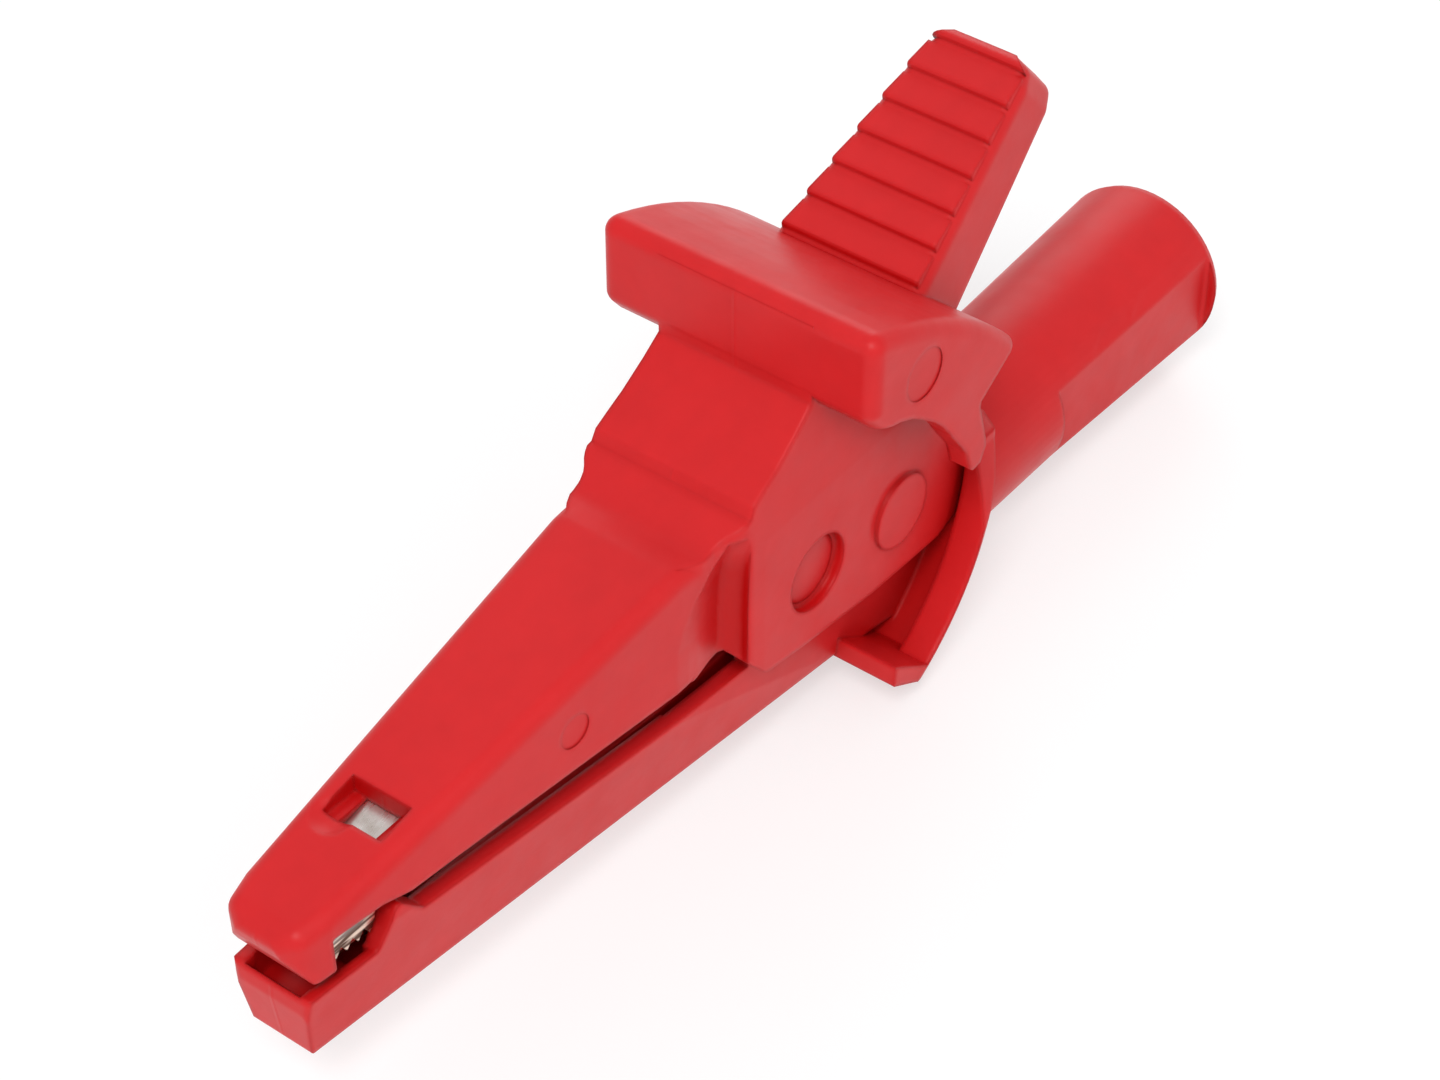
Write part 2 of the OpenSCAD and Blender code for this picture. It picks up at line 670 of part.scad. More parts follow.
module upper_contact() {
    end = jaw_reach - 3.25;
    start = 14;
    roof = 1.5 + fit_gap;
    tooth = 3.6 / tooth_count;
    color(nickel) at_pivot() intersection() {
        difference() {
            side_plate(wedge_y)
                polygon(concat(
                    [[start, roof_z(start) - roof], [end, roof_z(end) - roof]],
                    [for (i = [0:tooth_count - 1]) each [[end - tooth * i, -1.5],
                        [end - tooth * (i + 0.5), -2.15]]],
                    [[end - 3.6, -1.5], [end - 3.8, 0.5], [end - 8, 0.5], [start, 3.2]]));
            intersection() {
                side_plate(wedge_y)
                    polygon([[start - 1, roof_z(start - 1) - roof - sheet],
                             [end + 1, roof_z(end + 1) - roof - sheet], [end + 1, -10],
                             [start - 1, -10]]);
                linear_extrude(60, center = true)
                    polygon([for (p = [[start - 1, -1], [end + 1, -1], [end + 1, 1], [start - 1, 1]])
                        [p[0], p[1] * (space_half(p[0]) - fit_gap - sheet)]]);
            }
        }
        linear_extrude(60, center = true)
            polygon([for (p = [[start, -1], [end, -1], [end, 1], [start, 1]])
                [p[0], p[1] * (space_half(p[0]) - fit_gap)]]);
    }
}

module lower_contact() {
    tray_x = lower_reach - 6;
    start = bulkhead_x + fit_gap - pivot_x;
    head = tray_x + 0.4;
    color(nickel) difference() {
        at_pivot() intersection() {
            side_plate(channel_y)
                let (up = fit_gap, t = sheet, rise = head - 4)
                polygon([[start, -pivot_height + 2.2], [start, floor_top(start) + up],
                         [rise, floor_top(rise) + up],
                         [head, -2.3 - t], [head + 3.7, -2.3 - t], [head + 3.7, -2.3],
                         [head - 0.3, -2.3], [rise - 0.3, floor_top(rise) + up + t],
                         [start + t, floor_top(start + t) + up + t],
                         [start + t, -pivot_height + 2.2]]);
            linear_extrude(60, center = true)
                polygon([[start - 1, -tab_y], [rail_x - 2, -tab_y], [rail_x - 0.5, -strip_y],
                         [head - 0.9, -strip_y],
                         [head - 0.1, -2.0], [head + 4, -1.9], [head + 4, 1.9],
                         [head - 0.1, 2.0], [head - 0.9, strip_y], [rail_x - 0.5, strip_y],
                         [rail_x - 2, tab_y], [start - 1, tab_y]]);
        }
        rotate([0, 90, 0]) cylinder(d = screw_d + 0.2, h = bulkhead_x + 5);
    }
}

module socket_sleeve() {
    color(brass) turned_x([[socket_bore / 2 + 0.25, 0], [sleeve_d / 2 - 0.1, 0], [sleeve_d / 2, 0.1],
              [sleeve_d / 2, sleeve_len - 0.2], [sleeve_d / 2 - 0.2, sleeve_len],
              [screw_d / 2, sleeve_len], [screw_d / 2, socket_depth],
              [socket_bore / 2, socket_depth], [socket_bore / 2, 0.25]]);
}

module contact_screw() {
    seat = bulkhead_x + fit_gap + sheet + fit_gap;
    color(steel) difference() {
        turned_x([[0, socket_depth + 0.3], [screw_d / 2 - 0.3, socket_depth + 0.3],
                  [screw_d / 2 - fit_gap, socket_depth + 0.55], [screw_d / 2 - fit_gap, seat],
                  [screw_head_d / 2 - 0.1, seat], [screw_head_d / 2, seat + 0.1],
                  [screw_head_d / 2, seat + 1.3], [screw_head_d / 2 - 0.3, seat + 1.6],
                  [0, seat + 1.6]]);
        translate([seat + 1, -5, -0.3]) cube([2, 10, 0.6]);
    }
}

// A wire of round section along points of [x, y, z] that turn only about Y
function tangent(p, i) = let (a = p[max(0, i - 1)], b = p[min(len(p) - 1, i + 1)]) unit(b - a);
module wire(path, d, sides = 8) {
    n = len(path);
    pts = [for (i = [0:n - 1]) let (t = tangent(path, i), m = unit([-t[2], 0, t[0]]))
        for (k = [0:sides - 1]) let (w = 360 * k / sides)
            path[i] + d / 2 * (cos(w) * m + sin(w) * [0, 1, 0])];
    faces = concat(
        [[for (k = [0:sides - 1]) k]],
        [for (i = [0:n - 2], k = [0:sides - 1]) let (a = i * sides, b = a + sides, j = (k + 1) % sides)
            [a + k, b + k, b + j, a + j]],
        [[for (k = [sides - 1:-1:0]) (n - 1) * sides + k]]);
    polyhedron(pts, faces, convexity = 8);
}

// The spring's two legs, each as its slope above or below the rearward direction
lower_leg_slope = 50;
upper_leg_slope = 71;
lower_leg = 9.5;
upper_leg = 13.5;
coil_from = lower_leg_slope - 90;
coil_to = 90 - upper_leg_slope + 360 * coil_turns;
coil_width = (wire_d + 0.1) * coil_turns;
function on_coil(t) = let (s = coil_from + (coil_to - coil_from) * t)
    [coil_d / 2 * cos(s), coil_width * (t - 0.5), coil_d / 2 * sin(s)];

module closing_spring() {
    steps = 20 * coil_turns;
    first = on_coil(0) + lower_leg * [sin(coil_from), 0, -cos(coil_from)];
    last = on_coil(1) + upper_leg * [-sin(coil_to), 0, cos(coil_to)];
    color(steel) at_pivot()
        wire(concat([first], [for (i = [0:steps]) on_coil(i / steps)], [last]), wire_d);
}

lower_body();
upper_jaw();
upper_contact();
lower_contact();
socket_sleeve();
contact_screw();
closing_spring();
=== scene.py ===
"""Finishes an insulated crocodile clip: its two red mouldings, plated contacts, socket, screw and
wound spring, and the stage it is shown on. Sizes are in metres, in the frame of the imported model,
and in mm from the pivot where MM and PIVOT are applied to them."""

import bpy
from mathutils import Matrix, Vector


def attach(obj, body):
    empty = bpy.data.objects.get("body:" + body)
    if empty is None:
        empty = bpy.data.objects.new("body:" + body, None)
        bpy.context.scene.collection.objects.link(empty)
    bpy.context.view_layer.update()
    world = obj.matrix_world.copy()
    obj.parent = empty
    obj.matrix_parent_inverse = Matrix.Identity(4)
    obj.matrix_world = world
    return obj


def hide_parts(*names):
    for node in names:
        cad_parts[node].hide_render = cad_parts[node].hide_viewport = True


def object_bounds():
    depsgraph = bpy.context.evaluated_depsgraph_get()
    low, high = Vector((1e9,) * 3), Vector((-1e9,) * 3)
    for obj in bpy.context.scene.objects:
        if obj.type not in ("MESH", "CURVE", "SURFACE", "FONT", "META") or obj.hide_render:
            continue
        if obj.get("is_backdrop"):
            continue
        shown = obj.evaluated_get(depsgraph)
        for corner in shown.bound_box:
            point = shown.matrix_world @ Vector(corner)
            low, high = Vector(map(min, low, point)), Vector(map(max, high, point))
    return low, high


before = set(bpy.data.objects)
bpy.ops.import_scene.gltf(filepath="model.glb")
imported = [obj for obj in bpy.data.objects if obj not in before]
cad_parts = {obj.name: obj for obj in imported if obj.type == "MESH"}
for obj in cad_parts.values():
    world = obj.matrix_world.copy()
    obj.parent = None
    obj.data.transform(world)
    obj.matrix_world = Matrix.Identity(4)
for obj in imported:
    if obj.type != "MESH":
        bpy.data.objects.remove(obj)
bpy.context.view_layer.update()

import math

import bmesh
import bpy
from bpy.props import FloatProperty, FloatVectorProperty, IntProperty, PointerProperty
from mathutils import Matrix, Vector

bl_info = {
    "name": "Crocodile clip finish",
    "version": (1, 0, 0),
    "blender": (4, 5, 0),
    "location": "View3D > Sidebar > Crocodile clip",
    "description": "Mouldings, contacts, socket, spring and stage of an insulated crocodile clip",
    "category": "Object",
}

MM = 0.001
PIVOT = Vector((46.7, 0.0, 7.85)) * MM
BODY, JAW = "body", "jaw"


def linear(hex_colour):
    """An sRGB hex colour such as '#C8262C' as linear red, green and blue."""
    parts = [int(hex_colour[i:i + 2], 16) / 255 for i in (1, 3, 5)]
    return [c / 12.92 if c <= 0.04045 else ((c + 0.055) / 1.055) ** 2.4 for c in parts]


def add_node(tree, kind, links=None, inputs=None, **settings):
    """Adds a node, sets its properties and input values, and links its inputs to other sockets."""
    node = tree.nodes.new(kind)
    for name, value in settings.items():
        setattr(node, name, value)
    for name, value in (inputs or {}).items():
        node.inputs[name].default_value = value
    for name, socket in (links or {}).items():
        tree.links.new(socket, node.inputs[name])
    return node


def new_material(name):
    """An empty material with its output node."""
    made = bpy.data.materials.new(name)
    made.use_nodes = True
    made.node_tree.nodes.clear()
    return made, made.node_tree, add_node(made.node_tree, "ShaderNodeOutputMaterial")


def noise(tree, place, size_mm, detail=2.0, rough=0.5, stretch=None):
    """Noise whose lumps are about size_mm across on the real piece, mostly from 0.3 to 0.7."""
    if stretch:
        place = add_node(tree, "ShaderNodeMapping", {"Vector": place},
                         {"Scale": stretch}).outputs[0]
    return add_node(tree, "ShaderNodeTexNoise", {"Vector": place},
                    {"Scale": 1000 / size_mm, "Detail": detail, "Roughness": rough}).outputs["Fac"]


def relief(tree, edge_radius, samples, layers):
    """A normal that rounds the edges and then raises the surface by each (height, depth in mm)."""
    normal = add_node(tree, "ShaderNodeBevel", inputs={"Radius": edge_radius},
                      samples=samples).outputs[0]
    for height, depth in layers:
        normal = add_node(tree, "ShaderNodeBump", {"Height": height, "Normal": normal},
                          {"Strength": 1.0, "Distance": depth * MM}).outputs[0]
    return normal


def pigment(tree, place, red):
    """Red with streaks of some 7 mm and mottling of 1.5 mm, both faint."""
    streaks = noise(tree, place, 7.0, 3.0, 0.55, (0.45, 1.0, 1.0))
    mottle = noise(tree, place, 1.5, 2.0)
    both = add_node(tree, "ShaderNodeMix", {"A": streaks, "B": mottle}, {"Factor": 0.35},
                    data_type="FLOAT").outputs[0]
    ramp = add_node(tree, "ShaderNodeValToRGB", {"Fac": both})
    for element, position, share in zip(ramp.color_ramp.elements, (0.36, 0.64), (0.96, 1.04)):
        element.position = position
        element.color = (*(red * share), 1)
    return ramp.outputs[0]


def painted_root_shade(tree, parts, aside):
    """1 in the deep corners beside the jaw's root, where a darker red is painted in as shade: a
    strip 2.5 mm wide, darkest at the cheek.
    """
    corner = None
    for value, start, end in ((parts["X"], PIVOT.x + 9.8 * MM, PIVOT.x + 7.3 * MM),
                              (parts["X"], PIVOT.x + 6.2 * MM, PIVOT.x + 6.7 * MM),
                              (aside, 6.1 * MM, 5.6 * MM),
                              (parts["Z"], PIVOT.z + 6.8 * MM, PIVOT.z + 4.6 * MM),
                              (parts["Z"], PIVOT.z - 3.0 * MM, PIVOT.z - 2.0 * MM)):
        within = add_node(tree, "ShaderNodeMapRange", {"Value": value},
                          {"From Min": start, "From Max": end, "To Min": 0.0, "To Max": 1.0},
                          interpolation_type="SMOOTHSTEP").outputs[0]
        corner = within if corner is None else add_node(
            tree, "ShaderNodeMath", {0: corner, 1: within}, operation="MULTIPLY").outputs[0]
    return corner


def clear_of_painted_shade(tree, parts, aside):
    """1 on open faces and 0 in hollows and in the corners beside the jaw's root, where a darker red
    is painted in as shade.
    """
    around = add_node(tree, "ShaderNodeAmbientOcclusion", inputs={"Distance": 4 * MM},
                      samples=8).outputs["AO"]
    reached = add_node(tree, "ShaderNodeMapRange", {"Value": around},
                       {"From Min": 0.42, "From Max": 0.93, "To Min": 0.0,
                        "To Max": 1.0}).outputs[0]
    outside = add_node(tree, "ShaderNodeMapRange", {"Value": painted_root_shade(tree, parts, aside)},
                       {"From Min": 0.0, "From Max": 1.0, "To Min": 1.0, "To Max": 0.1}).outputs[0]
    return add_node(tree, "ShaderNodeMath", {0: reached, 1: outside},
                    operation="MULTIPLY").outputs[0]


def seam(tree, aside):
    """A faint seam 0.4 mm wide, where the tool's slides met in the middle of the front faces."""
    ridge = add_node(tree, "ShaderNodeMapRange", {"Value": aside},
                     {"From Min": 0.0, "From Max": 0.2 * MM, "To Min": 1.0,
                      "To Max": 0.0}).outputs[0]
    facing = add_node(tree, "ShaderNodeNewGeometry").outputs["True Normal"]
    forward = add_node(tree, "ShaderNodeSeparateXYZ", {"Vector": facing}).outputs["X"]
    front = add_node(tree, "ShaderNodeMapRange", {"Value": forward},
                     {"From Min": 0.75, "From Max": 0.85, "To Min": 0.0, "To Max": 1.0}).outputs[0]
    return add_node(tree, "ShaderNodeMath", {0: ridge, 1: front}, operation="MULTIPLY").outputs[0]


def moulded_polyamide():
    """Red polyamide 6, injection moulded in a spark-eroded tool: a deep even red with a soft
    semi-gloss, slightly see-through at thin edges, with slow sink marks and a fine grain. Hollows
    and the corners beside the jaw's root are painted a darker red, as shade."""
    sizes = bpy.context.scene.clip_finish
    made, tree, out = new_material("moulded_red_polyamide")
    place = add_node(tree, "ShaderNodeTexCoord").outputs["Object"]
    parts = add_node(tree, "ShaderNodeSeparateXYZ", {"Vector": place}).outputs
    aside = add_node(tree, "ShaderNodeMath", {0: parts["Y"]}, operation="ABSOLUTE").outputs[0]
    red = Vector(sizes.plastic_colour)
    # painted shade: the darker red that the colour takes in hollows and beside the jaw's root
    painted_shade_red = (0.78 * red.x, 0.2 * red.y, 0.2 * red.z, 1)
    colour = add_node(tree, "ShaderNodeMix",
                      {"Factor": clear_of_painted_shade(tree, parts, aside), "B": pigment(tree, place, red)},
                      {"A": painted_shade_red}, data_type="RGBA").outputs["Result"]
    # the tool's steel leaves patches that are a little glossier than others
    gloss = add_node(tree, "ShaderNodeMapRange", {"Value": noise(tree, place, 3.2, 3.0, 0.6)},
                     {"From Min": 0.3, "From Max": 0.7, "To Min": 0.33, "To Max": 0.43}).outputs[0]
    normal = relief(tree, sizes.edge_radius, 6, (
        (noise(tree, place, 9.0, 1.0), 0.10),  # sink marks
        (noise(tree, place, 2.2, 2.0), 0.016),  # slow waves
        # grain of 0.09 mm is too fine for the picture, so it is drawn at 0.3 mm
        (noise(tree, place, 0.3, 2.0, 0.6), 0.0035),
        (seam(tree, aside), 0.02)))
    shader = add_node(tree, "ShaderNodeBsdfPrincipled",
                      {"Base Color": colour, "Roughness": gloss, "Normal": normal},
                      {"IOR": 1.53, "Specular IOR Level": 0.17, "Subsurface Weight": 0.14,
                       "Subsurface Scale": 1.1 * MM, "Subsurface Radius": (1.0, 0.18, 0.14)})
    tree.links.new(shader.outputs[0], out.inputs[0])
    return made


def finished_metal(name, colour, stain, rough, grain_mm, stretch, teeth=False):
    """Metal, plated or bare, as rolling, turning or drawing leaves it: fine marks, which may run
    along one direction, and faint stains."""
    made, tree, out = new_material(name)
    place = add_node(tree, "ShaderNodeTexCoord").outputs["Object"]
    ramp = add_node(tree, "ShaderNodeValToRGB", {"Fac": noise(tree, place, 1.6, 4.0, 0.6)})
    for element, position, shade in zip(ramp.color_ramp.elements, (0.34, 0.6), (stain, colour)):
        element.position = position
        element.color = (*linear(shade), 1)
    marks = noise(tree, place, grain_mm, 3.0, 0.7, stretch)
    gloss = add_node(tree, "ShaderNodeMapRange", {"Value": marks},
                     {"From Min": 0.3, "From Max": 0.7, "To Min": rough - 0.07,
                      "To Max": rough + 0.09}).outputs[0]
    shown = stamped_teeth(tree, place, ramp.outputs[0]) if teeth else ramp.outputs[0]
    # cut edges of metal are nearly sharp, with a radius of 0.06 mm
    shader = add_node(tree, "ShaderNodeBsdfPrincipled",
                      {"Base Color": shown, "Roughness": gloss,
                       "Normal": relief(tree, 0.06 * MM, 4, [(marks, 0.004)])},
                      {"Metallic": 1.0})
    tree.links.new(shader.outputs[0], out.inputs[0])
    return made


def stamped_teeth(tree, place, plated):
    """Bare bronze at the teeth, below the jaw's edge: brown, with bright burrs along the sheet."""
    height = add_node(tree, "ShaderNodeSeparateXYZ", {"Vector": place}).outputs["Z"]
    bare = add_node(tree, "ShaderNodeMapRange", {"Value": height},
                    {"From Min": PIVOT.z - 1.1 * MM, "From Max": PIVOT.z + 0.3 * MM,
                     "To Min": 1.0, "To Max": 0.0}).outputs[0]
    # burrs are some 0.05 mm wide and are drawn at 0.25 mm to show
    burr = add_node(tree, "ShaderNodeValToRGB",
                    {"Fac": noise(tree, place, 0.25, 1.0, 0.5, (0.08, 1.0, 1.0))})
    bronze, bright = burr.color_ramp.elements
    bronze.position, bronze.color = 0.45, (*linear("#5E4336"), 1)
    bright.position, bright.color = 0.62, (*linear("#E9D3C2"), 1)
    return add_node(tree, "ShaderNodeMix", {"Factor": bare, "A": plated, "B": burr.outputs[0]},
                    data_type="RGBA").outputs["Result"]


def finish_node(name, material):
    """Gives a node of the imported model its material."""
    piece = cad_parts[name]
    piece.data.materials.clear()
    piece.data.materials.append(material)


def link(name, mesh):
    """A new object in the scene for a mesh that already lies in its place."""
    piece = bpy.data.objects.new(name, mesh)
    bpy.context.scene.collection.objects.link(piece)
    return piece


def modifier_input(modifier, name, value):
    """Sets a geometry nodes input by the identifier of its socket."""
    for item in modifier.node_group.interface.items_tree:
        if item.item_type == "SOCKET" and item.in_out == "INPUT" and item.name == name:
            modifier[item.identifier] = value
            return
    raise RuntimeError(f"the tree has no input named {name}")


def plain_mesh(piece, name, smooth=True):
    """Replaces a piece's modifiers by the mesh they make."""
    bpy.context.view_layer.update()
    made = bpy.data.meshes.new_from_object(
        piece.evaluated_get(bpy.context.evaluated_depsgraph_get()))
    made.name = name
    piece.modifiers.clear()
    old, piece.data = piece.data, made
    bpy.data.meshes.remove(old)
    for face in made.polygons:
        face.use_smooth = smooth
    return piece


def tube_tree():
    """Geometry nodes: a round wire along a line of edges."""
    tree = bpy.data.node_groups.new("round_wire", "GeometryNodeTree")
    for name, kind in (("Geometry", "Geometry"), ("Wire diameter", "Float"), ("Sides", "Int"),
                       ("Finish", "Material")):
        tree.interface.new_socket(name, in_out="INPUT", socket_type="NodeSocket" + kind)
    tree.interface.new_socket("Geometry", in_out="OUTPUT", socket_type="NodeSocketGeometry")
    given = add_node(tree, "NodeGroupInput").outputs
    line = add_node(tree, "GeometryNodeMeshToCurve", {"Mesh": given["Geometry"]}).outputs[0]
    half = add_node(tree, "ShaderNodeMath", {0: given["Wire diameter"]}, {1: 0.5},
                    operation="MULTIPLY").outputs[0]
    ring = add_node(tree, "GeometryNodeCurvePrimitiveCircle",
                    {"Resolution": given["Sides"], "Radius": half}).outputs[0]
    wire = add_node(tree, "GeometryNodeCurveToMesh", {"Curve": line, "Profile Curve": ring},
                    {"Fill Caps": True}).outputs[0]
    real = add_node(tree, "GeometryNodeRealizeInstances", {"Geometry": wire}).outputs[0]
    made = add_node(tree, "GeometryNodeSetMaterial",
                    {"Geometry": real, "Material": given["Finish"]})
    add_node(tree, "NodeGroupOutput", {"Geometry": made.outputs[0]})
    return tree


def wire_piece(name, points, diameter, material, sides=14):
    """A wire through points, made with the round wire nodes."""
    mesh = bpy.data.meshes.new(name)
    mesh.from_pydata([tuple(p) for p in points], [(i, i + 1) for i in range(len(points) - 1)], [])
    piece = link(name, mesh)
    modifier = piece.modifiers.new("wire", "NODES")
    modifier.node_group = bpy.data.node_groups.get("round_wire") or tube_tree()
    modifier_input(modifier, "Wire diameter", diameter)
    modifier_input(modifier, "Sides", sides)
    modifier_input(modifier, "Finish", material)
    return plain_mesh(piece, name)


def mesh_of(shape, name):
    """The mesh of a bmesh, which is freed."""
    mesh = bpy.data.meshes.new(name)
    shape.to_mesh(mesh)
    shape.free()
    return mesh


def ringed_solid(name, rings, closed=False):
    """A solid for a boolean to use, from rings of points in mm from the pivot that are joined in
    turn, with a cap at each end or, if closed, the last ring joined to the first."""
    shape = bmesh.new()
    rings = [[shape.verts.new(PIVOT + Vector(point) * MM) for point in ring] for ring in rings]
    pairs = list(zip(rings, rings[1:]))
    if closed:
        pairs.append((rings[-1], rings[0]))
    else:
        shape.faces.new(rings[0])
        shape.faces.new(rings[-1])
    for ring, after in pairs:
        for i in range(len(ring)):
            shape.faces.new((ring[i - 1], ring[i], after[i], after[i - 1]))
    bmesh.ops.recalc_face_normals(shape, faces=shape.faces)
    return link(name, mesh_of(shape, name))


def prism(name, outline, low, high):
    """A solid drawn in side view that spans Y from low to high."""
    return ringed_solid(name, [[(x, y, z) for x, z in outline] for y in (low, high)])


def collar(name, inner, outer, low, high):
    """A ring about the pivot's axis, from two radii and two places along Y."""
    steps = 96
    turn = [math.tau * i / steps for i in range(steps)]
    return ringed_solid(name, [
        [(radius * math.cos(t), y, radius * math.sin(t)) for t in turn]
        for radius, y in ((inner, low), (outer, low), (outer, high), (inner, high))], closed=True)


def reshaped(node, name, cuts, added=()):
    """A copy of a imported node's shape, merged, with solids added to it and cut from it."""
    shape = bmesh.new()
    shape.from_mesh(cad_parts[node].data)
    bmesh.ops.remove_doubles(shape, verts=shape.verts, dist=0.001 * MM)
    piece = link(name, mesh_of(shape, name))
    for tools, how in ((added, "UNION"), (cuts, "DIFFERENCE")):
        for tool in tools:
            modifier = piece.modifiers.new(tool.name, "BOOLEAN")
            modifier.object, modifier.operation, modifier.solver = tool, how, "MANIFOLD"
    plain_mesh(piece, name, smooth=False)
    for tool in (*cuts, *added):
        bpy.data.objects.remove(tool)
    return piece


class ClipFinish(bpy.types.PropertyGroup):
    """Sizes and colours of the clip's finish."""

    plastic_colour: FloatVectorProperty(
        name="Plastic", description="Colour of both mouldings", subtype="COLOR",
        min=0, max=1, default=linear("#CE2326"))
    edge_radius: FloatProperty(
        name="Edge radius", description="Radius that the mould leaves on outside edges",
        subtype="DISTANCE", min=0.0, max=0.001, default=0.0005)
    wire_diameter: FloatProperty(
        name="Spring wire", description="Diameter of the closing spring's wire",
        subtype="DISTANCE", min=0.0005, max=0.0012, default=0.0009)
    coil_diameter: FloatProperty(
        name="Coil", description="Mean diameter of the closing spring's coil",
        subtype="DISTANCE", min=0.004, max=0.006, default=0.0047)
    coil_turns: IntProperty(
        name="Turns", description="Whole turns in the closing spring's coil",
        min=3, max=4, default=4)


class StageSettings(bpy.types.PropertyGroup):
    """Light and floor of the stage."""

    floor_colour: FloatVectorProperty(
        name="Floor", description="Colour of the floor", subtype="COLOR", min=0, max=1,
        default=linear("#F4F4F2"))
    key_power: FloatProperty(
        name="Key light", description="Power of the large soft lamp", subtype="POWER",
        min=0, default=2.3)
    sky_strength: FloatProperty(
        name="Surroundings", description="Light from all round", min=0, max=2, default=0.55)


class CLIP_OT_stage(bpy.types.Operator):
    """Floor, surroundings, lamps and camera"""

    bl_idname = "clip.stage"
    bl_label = "Stage"

    def execute(self, context):
        scene = context.scene
        settings = scene.clip_stage
        low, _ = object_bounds()
        scene.view_settings.view_transform = "Standard"
        self.camera(scene)
        self.floor(settings, low.z)
        self.surroundings(scene, settings)
        self.lamps(settings)
        return {"FINISHED"}

    def camera(self, scene):
        """The photographed view, from in front of the jaws, to the side and above. Its place, turn
        and lens were fitted to the photo."""
        data = bpy.data.cameras.new("camera")
        data.sensor_width = 36.0
        data.lens = 91.86
        data.clip_start, data.clip_end = 0.01, 20.0
        camera = bpy.data.objects.new("camera", data)
        right = Vector((-0.609, 0.793, 0.0)).normalized()
        up = Vector((-0.529, -0.406, 0.745))
        up = (up - right * up.dot(right)).normalized()
        back = right.cross(up)
        turn = Matrix((right, up, back)).transposed().to_4x4()
        place = Vector((182.8, 103.1, 160.0)) * MM
        camera.matrix_world = Matrix.Translation(place) @ turn
        scene.collection.objects.link(camera)
        scene.camera = camera

    def floor(self, settings, level):
        """A plain pale floor that the clip stands on, which keeps its shadow."""
        mesh = bpy.data.meshes.new("floor")
        side = 3.0
        mesh.from_pydata([(-side, -side, level), (side, -side, level), (side, side, level),
                          (-side, side, level)], [], [(0, 1, 2, 3)])
        floor = link("floor", mesh)
        made, tree, out = new_material("matt_white_sweep")
        seen = self.seen(tree)
        # more than half of the white that is seen is a glow, so the clip's red on it stays faint
        shade = add_node(tree, "ShaderNodeMix", {"Factor": seen},
                         {"A": (*settings.floor_colour, 1), "B": (0.42, 0.42, 0.42, 1)},
                         data_type="RGBA")
        matt = add_node(tree, "ShaderNodeBsdfPrincipled", {"Base Color": shade.outputs["Result"]},
                        {"Roughness": 0.8, "Specular IOR Level": 0.2})
        glow = add_node(tree, "ShaderNodeEmission", {"Strength": seen},
                        {"Color": (0.6, 0.6, 0.6, 1)})
        both = add_node(tree, "ShaderNodeAddShader", {0: matt.outputs[0], 1: glow.outputs[0]})
        tree.links.new(both.outputs[0], out.inputs[0])
        mesh.materials.append(made)
        floor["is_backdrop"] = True

    def seen(self, tree):
        """1 for rays from the camera and for those that mirrors and glass send on, else 0."""
        path = add_node(tree, "ShaderNodeLightPath").outputs
        first = add_node(tree, "ShaderNodeMath",
                         {0: path["Is Camera Ray"], 1: path["Is Glossy Ray"]},
                         operation="MAXIMUM").outputs[0]
        return add_node(tree, "ShaderNodeMath", {0: first, 1: path["Is Transmission Ray"]},
                        operation="MAXIMUM").outputs[0]

    def surroundings(self, scene, settings):
        """White where it is seen, and a softer light on everything else."""
        world = bpy.data.worlds.new("pale_surroundings")
        world.use_nodes = True
        tree = world.node_tree
        tree.nodes.clear()
        out = add_node(tree, "ShaderNodeOutputWorld")
        light = add_node(tree, "ShaderNodeBackground",
                         inputs={"Color": (*linear("#F6F7F8"), 1),
                                 "Strength": settings.sky_strength})
        shown = add_node(tree, "ShaderNodeBackground",
                         inputs={"Color": (*linear("#FAFAFA"), 1), "Strength": 1.0})
        mix = add_node(tree, "ShaderNodeMixShader",
                       {0: self.seen(tree), 1: light.outputs[0], 2: shown.outputs[0]})
        tree.links.new(mix.outputs[0], out.inputs[0])
        scene.world = world

    def lamps(self, settings):
        """A soft key lamp above the camera, a weak one at the clip's side and one behind it."""
        middle = Vector((0.045, 0.0, 0.008))
        for name, place, size, power in (
                ("key", Vector((0.36, 0.20, 0.54)), 0.2, settings.key_power),
                ("side", Vector((0.12, 0.46, 0.34)), 0.42, settings.key_power * 0.2),
                ("rim", Vector((-0.48, -0.30, 0.34)), 0.36, settings.key_power * 0.38)):
            data = bpy.data.lights.new(name, "AREA")
            data.size = size
            data.energy = power
            data.specular_factor = 0.4
            lamp = bpy.data.objects.new(name, data)
            lamp.location = middle + place
            lamp.rotation_euler = place.to_track_quat("Z", "Y").to_euler()
            bpy.context.scene.collection.objects.link(lamp)


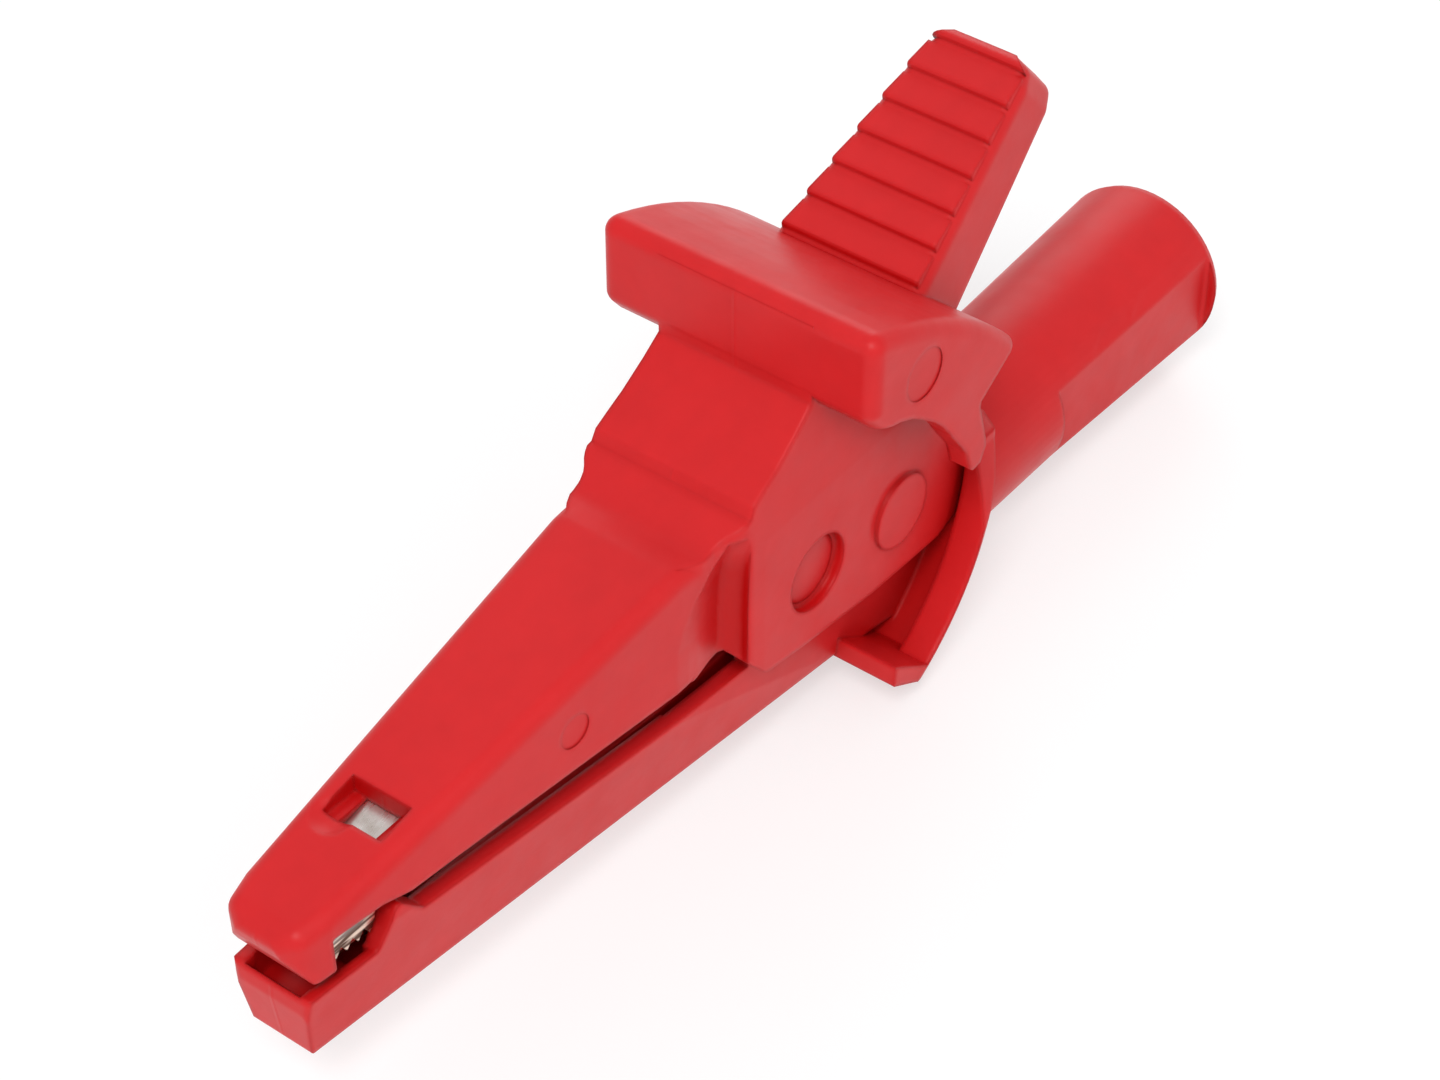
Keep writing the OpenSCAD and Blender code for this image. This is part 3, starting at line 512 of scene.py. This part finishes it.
class CLIP_OT_mouldings(bpy.types.Operator):
    """Finish of the two plastic mouldings"""

    bl_idname = "clip.mouldings"
    bl_label = "Mouldings"

    def execute(self, context):
        plastic = moulded_polyamide()
        for piece, node, body, slot in (
                (self.upper(), "upper_jaw", JAW, "jaw_plastic"),
                (self.lower(), "lower_body", BODY, "body_plastic")):
            piece.data.materials.clear()
            piece.data.materials.append(plastic)
            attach(piece, body)
            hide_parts(node)
        return {"FINISHED"}

    def upper(self):
        """Upper jaw: deep hollows beside its root, a raised ring round each bearing, and the waist
        and arched lower edge of the guard's ends."""
        # side view of what is cut away below the guard's ends, which stand out past the cheeks
        beyond = [(0.6, 12.95), (-0.7, 12.95), (-2.3, 12.6), (-3.6, 12.0), (-4.7, 11.2),
                  (-5.9, 10.2), (-7.0, 9.1), (-7.9, 7.9), (-8.6, 6.5), (-9.15, 4.95), (-9.9, 3.75),
                  (-10.6, 3.2), (-11.4, 3.3), (-11.9, 4.3), (-11.85, 5.0), (-11.4, 6.7),
                  (-11.05, 7.9), (-11.1, 8.4), (-14.8, 10.85), (-14.75, 11.4), (-14.5, 12.6),
                  (-19.0, 12.6), (-19.0, -1.0), (0.6, -1.0)]
        cuts, rings = [], []
        for side in (-1, 1):
            cuts.append(prism("guard_end", beyond, *sorted((side * 6.9, side * 10.6))))
            cuts.append(self.root_hollow(side))
            rings.append(collar("pivot_ring", 2.72, 3.3, *sorted((side * 5.2, side * 6.2))))
        return reshaped("upper_jaw", "upper_moulding", cuts, rings)

    def root_hollow(self, side):
        """The hollow beside the jaw's root: it dives behind the cheek's edge, upwards less."""
        plan = [(13.4, 4.9), (12.2, 4.875), (11.2, 4.82), (10.2, 4.7), (9.3, 4.53), (8.5, 4.38),
                (7.8, 4.33), (7.4, 4.5), (7.1, 4.82), (6.85, 5.15), (6.75, 5.45), (6.85, 5.85),
                (7.02, 6.12), (7.3, 8.5), (13.4, 8.5)]
        # each level's height, and how far the plan lies further out there
        levels = [(-9.0, 0.0), (1.5, 0.0), (3.2, 0.06), (4.7, 0.2), (6.1, 0.5), (7.7, 1.1)]
        return ringed_solid("root_hollow",
                            [[(x, side * (y + out), z) for x, y in plan] for z, out in levels])

    def lower(self):
        """Body: its stubs cut shorter, and a nose whose rim slopes into the tray, which leaves a
        thin edge in front."""
        slope = [(42.95, -2.9), (42.95, -3.35), (42.2, -4.35), (41.0, -4.35), (41.0, -2.9)]
        stub_end = [(-3, -3), (3, -3), (3, 3), (-3, 3)]
        cuts = [prism("tray_rim", slope, -2.1, 2.1)]
        for side in (-1, 1):
            cuts.append(prism("stub_end", stub_end, *sorted((side * 5.5, side * 6.6))))
        piece = reshaped("lower_body", "body_moulding", cuts)
        # the tail's round shades smoothly between its facets, up to its neck; its flats stay flat
        piece.data.set_sharp_from_angle(angle=math.radians(7))
        for face in piece.data.polygons:
            face.use_smooth = face.center.x < 26 * MM and abs(face.normal.y) < 0.7
        return piece


class CLIP_OT_contacts(bpy.types.Operator):
    """Finish of the stamped contacts"""

    bl_idname = "clip.contacts"
    bl_label = "Contacts"

    def execute(self, context):
        # nickel-plated phosphor bronze: a warm light grey sheet with fine rolling marks, and the
        # brown of the bare bronze with bright burrs where the teeth were stamped
        nickel = finished_metal("nickel_plated_bronze_sheet", "#D3CDC9", "#B9AFA8", 0.28, 0.5,
                                (0.15, 1.0, 1.0), teeth=True)
        for name in ("upper_contact", "lower_contact"):
            finish_node(name, nickel)
        return {"FINISHED"}


class CLIP_OT_socket(bpy.types.Operator):
    """Finish of the plug socket's sleeve and its screw"""

    bl_idname = "clip.socket"
    bl_label = "Plug socket"

    def execute(self, context):
        # turned brass with nickel on it: fine rings round the sleeve's axis
        finish_node("socket_sleeve", finished_metal(
            "nickel_plated_turned_brass", "#D2CDBF", "#B5A67E", 0.24, 0.35, (1.0, 0.12, 0.12)))
        # zinc-plated steel, a little bluish and dull
        finish_node("contact_screw", finished_metal(
            "zinc_plated_steel", "#B9BDC2", "#9DA2A8", 0.38, 0.6, (1.0, 1.0, 1.0)))
        return {"FINISHED"}


class CLIP_OT_spring(bpy.types.Operator):
    """Closing spring: its coil and lower leg stay on the body, its upper leg follows the jaw"""

    bl_idname = "clip.spring"
    bl_label = "Closing spring"

    def execute(self, context):
        sizes = context.scene.clip_finish
        # hard-drawn wire, grey and evenly dull
        steel = finished_metal("drawn_spring_steel", "#9A9B9D", "#7C7B79", 0.34, 0.4,
                               (0.3, 0.3, 0.3))
        turns, wire = sizes.coil_turns, sizes.wire_diameter
        pitch = wire + 0.1 * MM
        radius, width = sizes.coil_diameter / 2, pitch * turns
        start, end = math.radians(-40), math.radians(19) + math.tau * turns
        lower_leg, upper_leg = 9.5 * MM, 13.5 * MM
        # the upper leg starts with a piece of the last turn that is longer than the hinge's travel
        # of 28 degrees, so the wire stays whole when the jaw opens
        swing = math.radians(30)

        def on_coil(angle):
            share = (angle - start) / (end - start)
            return PIVOT + Vector((radius * math.cos(angle), width * (share - 0.5),
                                   radius * math.sin(angle)))

        def arc(first, last, steps):
            return [on_coil(first + (last - first) * i / steps) for i in range(steps + 1)]

        lower_end = on_coil(start) + lower_leg * Vector((math.sin(start), 0, -math.cos(start)))
        upper_end = on_coil(end) + upper_leg * Vector((-math.sin(end), 0, math.cos(end)))
        # the coil's wire is 0.02 mm thinner than that piece, so their surfaces don't coincide
        coil = wire_piece("spring_coil", [lower_end] + arc(start, end, 36 * turns),
                          wire - 0.02 * MM, steel)
        leg = wire_piece("spring_upper_leg", arc(end - swing, end, 6) + [upper_end], wire, steel)
        for piece, body in ((coil, BODY), (leg, JAW)):
            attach(piece, body)
        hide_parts("closing_spring")
        return {"FINISHED"}


STEPS = (CLIP_OT_stage, CLIP_OT_mouldings, CLIP_OT_contacts, CLIP_OT_socket, CLIP_OT_spring)


class CLIP_PT_finish(bpy.types.Panel):
    """Lists the steps and the sizes and colours they use"""

    bl_idname = "CLIP_PT_finish"
    bl_label = "Crocodile clip"
    bl_space_type = "VIEW_3D"
    bl_region_type = "UI"
    bl_category = "Crocodile clip"

    def draw(self, context):
        for group in (context.scene.clip_finish, context.scene.clip_stage):
            for name in group.bl_rna.properties.keys():
                if name not in ("rna_type", "name"):
                    self.layout.prop(group, name)
        for step in STEPS:
            self.layout.operator(step.bl_idname)


CLASSES = (ClipFinish, StageSettings, *STEPS, CLIP_PT_finish)


def register():
    for kind in CLASSES:
        bpy.utils.register_class(kind)
    bpy.types.Scene.clip_finish = PointerProperty(type=ClipFinish)
    bpy.types.Scene.clip_stage = PointerProperty(type=StageSettings)


def unregister():
    del bpy.types.Scene.clip_stage
    del bpy.types.Scene.clip_finish
    for kind in reversed(CLASSES):
        bpy.utils.unregister_class(kind)


def main():
    register()
    for step in STEPS:
        group, name = step.bl_idname.split(".")
        getattr(getattr(bpy.ops, group), name)()


if __name__ == "__main__":
    main()
